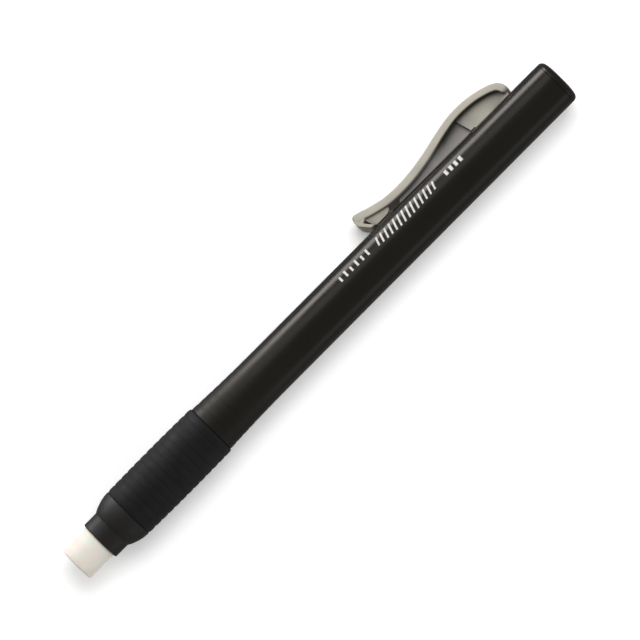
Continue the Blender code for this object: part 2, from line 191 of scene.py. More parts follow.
@dataclass(frozen=True)
class Finish:
    """A moulded, drawn or vulcanised surface.

    Colours are linear; lengths are in millimetres.
    """

    name: str
    colour: Colour
    shade: Colour
    roughness: tuple[float, float]
    grain: Grain = Grain.SATIN
    blotch_mm: float = 6.0
    blotch_detail: float = 3.0
    relief_mm: float = 0.25
    relief_detail: float = 4.0
    relief: float = 0.05
    relief_height_mm: float = 0.1
    metallic: float = 0.0
    specular: float = 0.5
    sheen: float = 0.0
    subsurface: float = 0.0
    subsurface_mm: float = 0.5
    speck: float = 0.0
    speck_mm: float = 0.9
    glow: float = 0.0
    warm: Colour = (1.0, 1.0, 1.0)

    def build(self) -> bpy.types.Material:
        """Make the node material, with its own colour, roughness and relief detail."""
        material = bpy.data.materials.new(self.name)
        graph = Graph(material)
        blotch = graph.noise(graph.place, self.blotch_mm, self.blotch_detail)
        stretched = graph.step("Mapping", "Vector", {"Scale": self.grain.value, "Vector": graph.place})
        fine = graph.noise(stretched, self.relief_mm, self.relief_detail)
        colour = graph.over(graph.span(blotch, 0.0, 1.0), self.colour, self.shade)
        graph.feed(graph.nodes["Principled BSDF"], {
            "Metallic": self.metallic,
            "Specular IOR Level": self.specular,
            "Specular Tint": (*self.warm, 1.0),
            "Sheen Weight": self.sheen,
            "Subsurface Weight": self.subsurface,
            "Subsurface Scale": self.subsurface_mm * MM,
            "Emission Color": (1.0, 1.0, 1.0, 1.0),
            "Emission Strength": self.glow,
            "Base Color": self.tint(graph, colour),
            "Roughness": self.polish(graph, graph.span(blotch, *self.roughness)),
            "Normal": graph.step("Bump", "Normal", {"Strength": self.relief, "Height": fine,
                                                    "Distance": self.relief_height_mm * MM})})
        return material

    def tint(self, graph: Graph, colour: Socket) -> Socket:
        """Return the colour, with pale specks of dust or filler where the finish has them."""
        if not self.speck:
            return colour
        scale = 1.0 / (self.speck_mm * MM)
        dots = graph.step("TexVoronoi", "Distance", {"Scale": scale, "Vector": graph.place})
        pale = tuple(min(1.0, channel * 2.2 + 0.03) for channel in self.colour)
        return graph.over(graph.span(dots, self.speck, 0.0, 0.02, 0.09), colour, pale)

    def polish(self, graph: Graph, rough: Socket) -> Socket:
        """Return the roughness to use; plain finishes keep it as it is."""
        return rough


@dataclass(frozen=True)
class FlaredFinish(Finish):
    """Gloss plastic that turns matt towards a station along the pen."""

    matt_x_mm: float = -84.0
    gloss_x_mm: float = -62.0
    matt_extra: float = 0.22

    def polish(self, graph: Graph, rough: Socket) -> Socket:
        """Raise the roughness from the gloss station to the matt one."""
        return graph.math("ADD", rough, graph.along(self.matt_extra, 0.0, self.matt_x_mm, self.gloss_x_mm))


@dataclass(frozen=True)
class WornVinyl(Finish):
    """Eraser vinyl: its rubbed tip carries faint grey smudges."""

    tip_x_mm: float = -122.0
    rubbed_mm: float = 1.6
    smudge_mm: float = 1.1
    smudge_detail: float = 5.0
    smudge_strength: float = 0.30
    smudge_colour: Colour = (0.42, 0.41, 0.39)

    def tint(self, graph: Graph, colour: Socket) -> Socket:
        """Smudge the last stretch before the tip."""
        near = graph.along(1.0, 0.0, self.tip_x_mm, self.tip_x_mm + self.rubbed_mm)
        noise = graph.noise(graph.place, self.smudge_mm, self.smudge_detail)
        patch = graph.span(noise, 0.0, self.smudge_strength, 0.5, 0.75)
        return graph.over(graph.both(near, patch), colour, self.smudge_colour)


@dataclass(frozen=True)
class SmokyFinish(Finish):
    """Smoky see-through plastic with painted shade: dark olive painted into its corners and on the faces that
    look at the tube, and a cool grey painted on the thin web for the shaded table seen through it.
    """

    droop: float = 0.0
    # painted shade: the dark olive laid into the corners and on the faces that look at the tube, and its
    # strongest share
    painted_shade: Colour = (0.030, 0.028, 0.018)
    painted_shade_share: float = 0.90
    # painted shade: the cool grey of the shaded table seen through the thin web
    thin: Colour = (0.285, 0.275, 0.270)
    # the corner shade is painted from ambient occlusion: its reach, its samples, and the levels where the
    # shade is full and where it is gone
    corner_mm: float = 3.0
    corner_samples: int = 8
    corner_full_shade: float = 0.70
    corner_no_shade: float = 0.975
    # the painted shade is weaker towards the front of the clip
    fade_front_mm: float = -26.5
    fade_rear_mm: float = -22.5
    front_shade_share: float = 0.38
    # where the thin web's painted grey lies: its stations and its half thickness
    thin_from_mm: float = -36.0
    thin_to_mm: float = -17.6
    thin_half_mm: float = 1.3
    # the painted shade is weaker at the clip's heel
    heel_start_mm: float = -10.0
    heel_end_mm: float = -8.4
    heel_shade_share: float = 0.25

    def tint(self, graph: Graph, colour: Socket) -> Socket:
        """Paint the cool grey of the shaded table onto the thin web, then paint shade into the corners and on
        the faces that look at the tube.
        """
        facing = graph.reach(graph.normal, (0.0, -math.cos(self.droop), math.sin(self.droop)))
        # painted shade: the thin web takes the cool grey of the shaded table seen through it
        colour = graph.over(self._thin_zone(graph, facing), colour, self.thin)
        # how strong the painted shade is along the clip: weaker at the front and at the heel
        depth = graph.both(graph.along(self.front_shade_share, 1.0, self.fade_front_mm, self.fade_rear_mm),
                           graph.along(1.0, self.heel_shade_share, self.heel_start_mm, self.heel_end_mm))
        # painted shade in the corners, from ambient occlusion
        corner = graph.step("AmbientOcclusion", "AO", {"Distance": self.corner_mm * MM},
                            samples=self.corner_samples, only_local=True)
        corner_shade = graph.span(corner, self.painted_shade_share, 0.0, self.corner_full_shade, self.corner_no_shade)
        colour = graph.over(graph.both(corner_shade, depth), colour, self.painted_shade)
        # painted shade on the faces that look at the tube, under the arm
        under = graph.span(facing, 0.0, self.painted_shade_share, 0.35, 0.85)
        return graph.over(graph.both(under, depth), colour, self.painted_shade)

    def _thin_zone(self, graph: Graph, facing: Socket) -> Socket:
        """Return a mask of the thin web: between two stations, near the middle, and not facing out."""
        starts = graph.along(0.0, 1.0, self.thin_from_mm - 1.0, self.thin_from_mm + 1.0)
        stops = graph.along(1.0, 0.0, self.thin_to_mm - 0.7, self.thin_to_mm)
        side = graph.reach(graph.place, (0.0, math.sin(self.droop), math.cos(self.droop)))
        inner = graph.span(graph.math("ABSOLUTE", side), 1.0, 0.0, (self.thin_half_mm - 0.2) * MM,
                           self.thin_half_mm * MM)
        hidden = graph.span(facing, 0.0, 1.0, -0.45, -0.15)
        return graph.both(graph.both(graph.both(starts, stops), hidden), inner)


@dataclass
class Workshop:
    """Turns millimetre outlines in the pen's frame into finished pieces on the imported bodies."""

    droop: float
    fine_steps: int = 128

    def stand(self) -> Matrix:
        """Return the matrix from the pen's frame in millimetres to the row frame in metres."""
        return Matrix.Rotation(-self.droop, 4, "X") @ Matrix.Scale(MM, 4)

    def lathe(self, name: str, outline: Sequence[Point], steps: int | None = None) -> Piece:
        """Turn a closed outline of (x, radius) points around the pen's axis.

        Args:
            name: the piece's name.
            outline: the closed half section; points on the axis have radius 0.
            steps: facets around, or None for the workshop's own number.

        Returns:
            The turned piece.
        """
        steps = steps or self.fine_steps
        bm = bmesh.new()
        rings: list[list[Vert]] = []
        for x, r in outline:
            if r < 1e-6:
                rings.append([bm.verts.new((x, 0.0, 0.0))])
                continue
            turns = (math.tau * i / steps for i in range(steps))
            rings.append([bm.verts.new((x, r * math.cos(a), r * math.sin(a))) for a in turns])
        for here, after in zip(rings, rings[1:] + rings[:1]):
            self._skin(bm, here, after, steps)
        return self.make(name, bm)

    @staticmethod
    def _skin(bm: Mesh, here: list[Vert], after: list[Vert], steps: int) -> None:
        """Join two rings, either of which may be a single point on the axis."""
        if len(here) == 1 and len(after) == 1:
            return
        for i in range(steps):
            j = (i + 1) % steps
            corners = [here[i % len(here)], here[j % len(here)], after[j % len(after)], after[i % len(after)]]
            face = list(dict.fromkeys(corners))
            if len(face) > 2:
                bm.faces.new(face)

    def plate(self, name: str, outline: Sequence[Point], low: float, high: float) -> Piece:
        """Extrude a closed (x, y) outline across the pen, from z = low to z = high."""
        return self.prism(name, [(x, y, low) for x, y in outline], (0.0, 0.0, high - low))

    def prism(self, name: str, face: Sequence[Corner], grow: Corner) -> Piece:
        """Extrude a flat face by a vector."""
        bm = bmesh.new()
        start = bm.faces.new([bm.verts.new(corner) for corner in face])
        grown = bmesh.ops.extrude_face_region(bm, geom=[start])["geom"]
        moved = [v for v in grown if isinstance(v, Vert)]
        bmesh.ops.translate(bm, vec=grow, verts=moved)
        return self.make(name, bm)

    def loft(self, name: str, sections: Sequence[Sequence[Vector | Corner]]) -> Piece:
        """Skin a row of closed sections that have the same number of points, and cap both ends."""
        bm = bmesh.new()
        self.skin_row(bm, sections)
        return self.make(name, bm)

    def skin_row(self, bm: Mesh, sections: Sequence[Sequence[Vector | Corner]]) -> None:
        """Add one closed, capped skin over a row of sections to a mesh."""
        rings = [[bm.verts.new(p) for p in section] for section in sections]
        for here, after in zip(rings, rings[1:]):
            self._skin(bm, here, after, len(here))
        bm.faces.new(rings[0])
        bm.faces.new(rings[-1])

    def make(self, name: str, bm: Mesh) -> Piece:
        """Stand millimetre geometry up in the row frame as an object."""
        bmesh.ops.recalc_face_normals(bm, faces=bm.faces)
        bmesh.ops.transform(bm, matrix=self.stand(), verts=bm.verts)
        mesh = bpy.data.meshes.new(name)
        bm.to_mesh(mesh)
        bm.free()
        obj = bpy.data.objects.new(name, mesh)
        bpy.context.scene.collection.objects.link(obj)
        self.smooth(obj)
        return obj

    @staticmethod
    def smooth(obj: Piece, degrees: float = 32.0) -> None:
        """Shade smooth, keeping edges sharper than the angle crisp."""
        obj.data.shade_smooth()
        obj.data.set_sharp_from_angle(angle=math.radians(degrees))

    def combine(self, obj: Piece, tools: Iterable[Piece], operation: Operation) -> Piece:
        """Cut or join tools with a piece, one after another, and use the tools up."""
        for tool in tools:
            modifier = obj.modifiers.new(tool.name, "BOOLEAN")
            modifier.operation = operation.value
            modifier.solver = "EXACT"
            modifier.object = tool
            self.apply(obj)
            bpy.data.objects.remove(tool)
        self.smooth(obj)
        return obj

    @staticmethod
    def apply(obj: Piece) -> None:
        """Bake a piece's modifiers into its mesh."""
        bpy.context.view_layer.update()
        graph = bpy.context.evaluated_depsgraph_get()
        mesh = bpy.data.meshes.new_from_object(obj.evaluated_get(graph))
        obj.modifiers.clear()
        obj.data = mesh

    def soften(self, obj: Piece, width: float, segments: int = 3) -> Piece:
        """Round a plate's edges by a bevel of the given width in millimetres."""
        bevel = obj.modifiers.new("edge", "BEVEL")
        bevel.width = width * MM
        bevel.segments = segments
        bevel.limit_method = "ANGLE"
        bevel.angle_limit = math.radians(30.0)
        self.apply(obj)
        self.smooth(obj)
        return obj

    @staticmethod
    def dress(obj: Piece, finish: Finish, body: str, slot: str, *nodes: str) -> Piece:
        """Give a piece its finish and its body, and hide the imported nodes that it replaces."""
        obj.data.materials.clear()
        obj.data.materials.append(finish.build())
        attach(obj, body)
        if nodes:
            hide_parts(*nodes)
        LOG.info("%s rides on %s, %d faces", obj.name, body, len(getattr(obj.data, "polygons", [])))
        return obj


def arc(centre: Point, radius: float, start: float, end: float, steps: int) -> list[Point]:
    """Return points along an arc, its angles in degrees."""
    angles = (math.radians(start + (end - start) * i / steps) for i in range(steps + 1))
    return [(centre[0] + radius * math.cos(a), centre[1] + radius * math.sin(a)) for a in angles]


def rounded(corners: Sequence[Corner], steps: int = 5) -> list[Point]:
    """Round the corners of a closed outline.

    Args:
        corners: (x, y, radius) of each corner, in order.
        steps: facets in each round.

    Returns:
        The outline with each corner replaced by a quadratic round of about its radius.
    """
    points: list[Point] = []
    count = len(corners)
    for i, (x, y, radius) in enumerate(corners):
        here = Vector((x, y))
        if radius <= 0.0:
            points.append((x, y))
            continue
        to_last = Vector(corners[i - 1][:2]) - here
        to_next = Vector(corners[(i + 1) % count][:2]) - here
        start = here + to_last.normalized() * min(radius, 0.48 * to_last.length)
        end = here + to_next.normalized() * min(radius, 0.48 * to_next.length)
        for k in range(steps + 1):
            t = k / steps
            p = start * (1 - t) ** 2 + here * 2 * t * (1 - t) + end * t ** 2
            points.append((p.x, p.y))
    return points


def teeth(start: float, count: int, pitch: float, crest: float, depth: float, floor: float) -> list[Point]:
    """Return the outline of a row of teeth that runs to the front, each steep on its tail side."""
    points: list[Point] = [(start, floor)]
    for i in range(count):
        x = start - pitch * i
        points += [(x, crest + depth), (x - pitch, crest)]
    return points + [(start - pitch * count, floor)]


def smooth_path(points: Sequence[Point], per_span: int) -> list[Vector]:
    """Return a Catmull-Rom curve through the points, per_span steps between each two."""
    pts = [Vector(p) for p in points]
    pts = [2 * pts[0] - pts[1]] + pts + [2 * pts[-1] - pts[-2]]
    path: list[Vector] = []
    for a, b, c, d in zip(pts, pts[1:], pts[2:], pts[3:]):
        for i in range(per_span):
            t = i / per_span
            path.append(0.5 * (2 * b + (c - a) * t + (2 * a - 5 * b + 4 * c - d) * t ** 2
                               + (3 * b - a - 3 * c + d) * t ** 3))
    return path + [pts[-2]]


@dataclass(frozen=True)
class Span:
    """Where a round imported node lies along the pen, in millimetres."""

    front: float
    rear: float
    radius: float

    @classmethod
    def of(cls, node: str) -> Span:
        """Read a node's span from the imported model."""
        low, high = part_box(node)
        return cls(low.x / MM, high.x / MM, max(high.z - low.z, high.y - low.y) / 2 / MM)


WARM_GLOSS = (1.0, 0.92, 0.85)
BLACK_GLOSS = FlaredFinish("barrel_gloss_black", (0.0066, 0.0062, 0.0048), (0.0046, 0.0048, 0.0036),
                           (0.23, 0.29), Grain.SATIN, blotch_mm=9.0, relief_mm=0.35, relief=0.035,
                           warm=WARM_GLOSS)
BLACK_PLUG = Finish("plug_gloss_black", (0.0066, 0.0062, 0.0050), (0.0048, 0.0048, 0.0038), (0.24, 0.31),
                    Grain.PEBBLE, blotch_mm=4.0, relief_mm=0.3, relief=0.035, warm=WARM_GLOSS)
BLACK_NOSE = Finish("nose_satin_black", (0.0128, 0.0120, 0.0112), (0.0100, 0.0094, 0.0088), (0.45, 0.53),
                    Grain.PEBBLE, blotch_mm=2.5, relief_mm=0.2, relief=0.06)
BLACK_RUBBER = Finish("grip_black_rubber", (0.0082, 0.0082, 0.0082), (0.0062, 0.0062, 0.0064), (0.58, 0.68),
                      Grain.PEBBLE, blotch_mm=3.0, relief_mm=0.12, relief=0.25, specular=0.30, sheen=0.02,
                      speck=0.12)
WHITE_VINYL = WornVinyl("eraser_white_vinyl", (0.71, 0.685, 0.64), (0.675, 0.65, 0.585), (0.62, 0.75),
                        Grain.PEBBLE, blotch_mm=2.4, relief_mm=0.16, relief=0.30, specular=0.20,
                        subsurface=0.8, subsurface_mm=1.8)
# its tint paints shade into the clip's corners and underside, and the shaded table's cool grey onto its thin
# web
SMOKE_CLIP = SmokyFinish("clip_smoke_plastic", (0.40, 0.380, 0.320), (0.345, 0.330, 0.285), (0.30, 0.40),
                         Grain.SATIN, blotch_mm=3.5, relief_mm=0.30, relief=0.06, subsurface=0.25,
                         subsurface_mm=0.6)
GREY_SLIDER = Finish("carriage_grey_acetal", (0.30, 0.30, 0.28), (0.25, 0.25, 0.24), (0.42, 0.50),
                     Grain.DRAWN, blotch_mm=3.0, relief_mm=0.2, relief=0.08, subsurface=0.1)
WHITE_HOLDER = Finish("holder_white_acetal", (0.64, 0.64, 0.60), (0.57, 0.57, 0.54), (0.40, 0.48),
                      Grain.SATIN, blotch_mm=2.5, relief_mm=0.2, relief=0.08, subsurface=0.15)
PIN_STEEL = Finish("pin_drawn_steel", (0.56, 0.56, 0.56), (0.46, 0.46, 0.47), (0.22, 0.34),
                   Grain.PEBBLE, blotch_mm=0.8, relief_mm=0.05, relief=0.10, metallic=1.0)
SPRING_STEEL = Finish("spring_drawn_wire", (0.52, 0.52, 0.54), (0.42, 0.42, 0.44), (0.24, 0.36),
                      Grain.PEBBLE, blotch_mm=0.6, relief_mm=0.05, relief=0.12, metallic=1.0)
WHITE_INK = Finish("print_white_ink", (0.62, 0.61, 0.59), (0.46, 0.45, 0.43), (0.50, 0.62),
                   Grain.PEBBLE, blotch_mm=0.5, relief_mm=0.08, relief=0.15)
STUDIO_WHITE = Finish("studio_paper", (0.93, 0.93, 0.93), (0.92, 0.92, 0.92), (0.85, 0.95),
                      Grain.PEBBLE, blotch_mm=400.0, relief_mm=1.0, relief=0.01, specular=0.1, glow=0.22)


@dataclass
class BarrelAssembly:
    """The pieces that stay still: tube, tail plug, grip sleeve, nose and the printed marks."""

    shop: Workshop
    slot_half: float = 1.2
    slot_front: float = -54.9
    rack_start: float = -4.2
    rack_teeth: int = 39
    rack_floor: float = 2.5
    rack_pitch: float = 1.2
    rack_depth: float = 0.2
    rack_crest: float = 3.74
    rack_half: float = 1.75
    wall: float = 0.65
    neck_wall: float = 0.5
    flare_length: float = 15.0
    flare_ring_depth: float = 0.08
    flare_ring_share: float = 0.10
    ring_pitch: float = 1.64
    ring_depth: float = 0.10
    ring_share: float = 0.14
    tail_corner: float = 1.1
    crown: float = 0.12
    crown_start: float = 2.6
    plug_seat: float = -1.3
    key_drop: float = 0.18
    nose_bore: float = 3.58
    collar_length: float = 2.9
    collar_radius: float = 4.0
    tube: Span = field(init=False)
    plug: Span = field(init=False)
    grip: Span = field(init=False)
    nose: Span = field(init=False)

    def __post_init__(self) -> None:
        """Read the round pieces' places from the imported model."""
        self.tube = Span.of("barrel")
        self.plug = Span.of("tail_plug")
        self.grip = Span.of("grip_sleeve")
        self.nose = Span.of("nose_cone")

    @property
    def bore(self) -> float:
        """Return the tube's inner radius."""
        return self.plug.radius - self.wall

    @property
    def shoulder_x(self) -> float:
        """Return where the tube steps down under the grip."""
        return self.grip.rear + 0.05

    def build(self) -> None:
        """Make and dress every fixed piece."""
        self.shop.dress(self.make_tube(), BLACK_GLOSS, "barrel", "barrel_black", "barrel")
        self.shop.dress(self.make_plug(), BLACK_PLUG, "barrel", "plug_black", "tail_plug")
        self.shop.dress(self.make_grip(), BLACK_RUBBER, "barrel", "grip_rubber", "grip_sleeve")
        self.shop.dress(self.make_nose(), BLACK_NOSE, "barrel", "nose_black", "nose_cone")
        PrintedMarks(self.shop, self.plug.radius).build()

    def make_tube(self) -> Piece:
        """Turn the tube with its ringed flare, then cut the slot and the rack."""
        front, radius, edge = self.tube.front, self.plug.radius, 0.12
        neck = self.bore + self.neck_wall
        end = self.tube.rear + 0.04
        outline: list[Point] = [(front, self.bore), (front, neck - 0.1), (front + 0.1, neck),
                                (self.shoulder_x, neck)]
        outline += arc((self.shoulder_x + edge, self.tube.radius - edge), edge, 180, 90, 4)[:-1]
        steps = int(self.flare_length / self.ring_pitch * 20)
        for i in range(1, steps + 1):
            away = self.flare_length * i / steps
            share = 1 - away / self.flare_length
            body = radius + (self.tube.radius - radius) * share ** 2
            groove = self._groove(away / self.ring_pitch, self.flare_ring_share)
            outline.append((self.shoulder_x + away, body - self.flare_ring_depth * share * groove))
        outline += [(end - 0.06, radius), (end, radius - 0.06), (end, self.bore)]
        tube = self.shop.lathe("barrel_tube", outline)
        return self.shop.combine(tube, [self._slot(), self._rack()], Operation.CUT)

    @staticmethod
    def _groove(pitches: float, half: float) -> float:
        """Return the depth of a row of round grooves, as a share, this many pitches along it."""
        phase = pitches % 1.0
        return math.exp(-(min(phase, 1 - phase) / half) ** 2)

    def _slot(self) -> Piece:
        """Return the slot's cutter: straight sides, round front end, open at the tail."""
        half = self.slot_half
        plan = arc((self.slot_front + half, 0.0), half, 90, 270, 14) + [(2.0, -half), (2.0, half)]
        return self.shop.prism("slot_cutter", [(x, 1.0, z) for x, z in plan], (0.0, 6.0, 0.0))

    def _rack(self) -> Piece:
        """Return the rack's cutter: a row of teeth, each steep on its tail side."""
        points = teeth(self.rack_start, self.rack_teeth, self.rack_pitch, self.rack_crest, self.rack_depth,
                       self.rack_floor)
        return self.shop.plate("rack_cutter", points, -self.rack_half, self.rack_half)

    def make_plug(self) -> Piece:
        """Turn the tail plug: slightly domed end, round rim, spigot, and the key in the slot."""
        front, radius, inner = self.plug.front, self.plug.radius, self.bore
        corner, seat = self.tail_corner, self.plug_seat
        rim = arc((-self.crown - corner, radius - corner), corner, 4, 90, 14)
        rise = rim[0][1] - self.crown_start
        outline: list[Point] = [(0.0, 0.0)]
        outline += [(-self.crown * (i / 8) ** 2, self.crown_start + rise * (i / 8)) for i in range(8)]
        outline += rim + [(seat + 0.05, radius), (seat, radius - 0.05), (seat, inner - 0.05),
                          (front + 0.2, inner - 0.05), (front, inner - 0.25), (front, 0.0)]
        plug = self.shop.lathe("tail_plug_cap", outline)
        half = self.slot_half - 0.04
        top = math.sqrt((radius - self.key_drop) ** 2 - half ** 2)
        side = [(front, 2.0), (seat / 2, 2.0), (seat / 2, top), (front + 0.15, top), (front, top - 0.15)]
        return self.shop.combine(plug, [self.shop.plate("key", side, -half, half)], Operation.JOIN)

    def make_grip(self) -> Piece:
        """Turn the grip sleeve with its row of soft rings."""
        front, rear, edge, per_ring = self.grip.front, self.grip.rear, 0.12, 16
        inner = self.bore + self.neck_wall + 0.05
        end_radius = self.grip.radius - 0.1
        length = rear - front
        rings = round((length - 2 * edge) / self.ring_pitch)
        outer: list[Point] = []
        for i in range(rings * per_ring + 1):
            share = i / (rings * per_ring)
            groove = self._groove(share * rings, self.ring_share)
            radius = end_radius + 0.1 * math.sin(math.pi * share) - self.ring_depth * groove
            outer.append((front + edge + (length - 2 * edge) * share, radius))
        low = end_radius - self.ring_depth - edge
        outline = [(front, inner)] + arc((front + edge, low), edge, 180, 90, 6)[:-1] + outer
        outline += arc((rear - edge, low), edge, 90, 0, 6)[1:] + [(rear, inner)]
        return self.shop.lathe("grip_rubber_sleeve", outline)

    def make_nose(self) -> Piece:
        """Turn the nose: collar, soft neck and the cone that meets the grip."""
        front, rear, widest = self.nose.front, self.nose.rear, self.nose.radius
        bore, collar, lip, steps = self.nose_bore, self.collar_radius, 0.22, 36
        collar_back = front + self.collar_length
        length = rear - collar_back
        outline: list[Point] = [(front + 0.12, bore)]
        outline += arc((front + 0.08, bore + 0.08), 0.08, 270, 180, 3)
        outline += arc((front + lip, collar - lip), lip, 180, 90, 6)
        for i in range(steps):
            share = i / steps
            rise = math.sin(0.5 * math.pi * share ** 0.92)
            ease = 1 - math.exp(-((share + 0.01) / 0.07) ** 2)
            outline.append((collar_back + length * share, collar + (widest - collar) * rise * ease))
        socket = self.bore + self.neck_wall + 0.05
        floor = self.tube.front - 0.05
        outline += [(rear - 0.06, widest), (rear, widest - 0.06), (rear, socket), (floor, socket),
                    (floor, bore)]
        return self.shop.lathe("nose_guide", outline)


@dataclass
class PrintedMarks:
    """White printed marks on the tube: plain bars and squares that say nothing."""

    shop: Workshop
    radius: float
    turn_deg: float = 74.5
    ink: float = 0.012
    sunk: float = 0.02
    lean: float = 0.28
    steps: int = 6

    def build(self) -> None:
        """Print the marks as one thin raised layer."""
        bm = bmesh.new()
        for mark in self.bars():
            self.shop.skin_row(bm, self._patch(mark))
        self.shop.dress(self.shop.make("printed_marks", bm), WHITE_INK, "barrel", "holder_white")

    def bars(self) -> list[Mark]:
        """Return each mark as (front x, rear x, lower edge, upper edge, lean) in millimetres."""
        marks: list[Mark] = []
        for i in range(6):
            x = -53.2 + 1.34 * i
            marks.append((x, x + 0.42, -0.75, 0.65 if i % 2 else 0.35, 0.0))
        for i in range(14):
            x = -43.8 + 1.08 * i
            swell = 0.80 + 0.45 * math.sin(math.pi * (i + 0.5) / 14) ** 0.8
            marks.append((x, x + 0.38, -swell, swell, self.lean))
        for i in range(4):
            x = -26.7 + 1.18 * i
            marks.append((x, x + 0.62, -0.60, 0.52, 0.0))
        return marks

    def _patch(self, mark: Mark) -> list[list[Corner]]:
        """Return the sections of one closed patch of ink that follows the tube, from its lower edge."""
        low_x, high_x, low_s, high_s, lean = mark
        root, face = self.radius - self.sunk, self.radius + self.ink
        sections = []
        for i in range(self.steps + 1):
            s = low_s + (high_s - low_s) * i / self.steps
            angle = math.radians(self.turn_deg) - s / self.radius
            sections.append([(x + lean * s, r * math.cos(angle), r * math.sin(angle))
                             for x, r in ((low_x, root), (high_x, root), (high_x, face), (low_x, face))])
        return sections


@dataclass
class EraserStick:
    """The stick of white eraser, soft at its tip and squeezed in the jaws."""

    shop: Workshop
    tip_round: float = 0.45
    gripped: float = 7.75
    squeeze: float = 0.23

    def build(self) -> None:
        """Turn the stick, wear its tip and dress it."""
        span = Span.of("eraser_stick")
        front, rear, radius = span.front, span.rear, span.radius
        step, held = rear - self.gripped, radius - self.squeeze
        outline: list[Point] = [(front, radius * k / 8) for k in range(7)]
        outline += arc((front + self.tip_round, radius - self.tip_round), self.tip_round, 180, 90, 8)
        outline += [(front + self.tip_round + 0.35 * k, radius) for k in range(1, 16)]
        outline += [(step, radius), (step + 0.2, held), (rear - 0.15, held), (rear, held - 0.15), (rear, 0.0)]
        stick = self.shop.lathe("eraser_vinyl_stick", outline)
        self._wear(stick, span)
        self.shop.dress(stick, WHITE_VINYL, "eraser", "eraser_white", "eraser_stick")

    def _wear(self, stick: Piece, span: Span) -> None:
        """Press small, smooth dents into the tip, as use leaves it."""
        for vert in stick.data.vertices:
            depth = 1.0 - (vert.co.x / MM - span.front) / 1.4
            if depth <= 0.0:
                continue
            around = math.atan2(vert.co.z, vert.co.y)
            wave = math.sin(3 * around + 0.7) + 0.6 * math.sin(5 * around + 2.1) + 0.35 * math.sin(9 * around)
            reach = math.hypot(vert.co.y, vert.co.z) / (span.radius * MM)
            vert.co.x += 0.045 * MM * (1.0 + 0.5 * wave) * reach ** 3 * depth
            shrink = 1.0 - 0.006 * (1.0 + 0.5 * wave) * depth ** 2
            vert.co.y *= shrink
            vert.co.z *= shrink


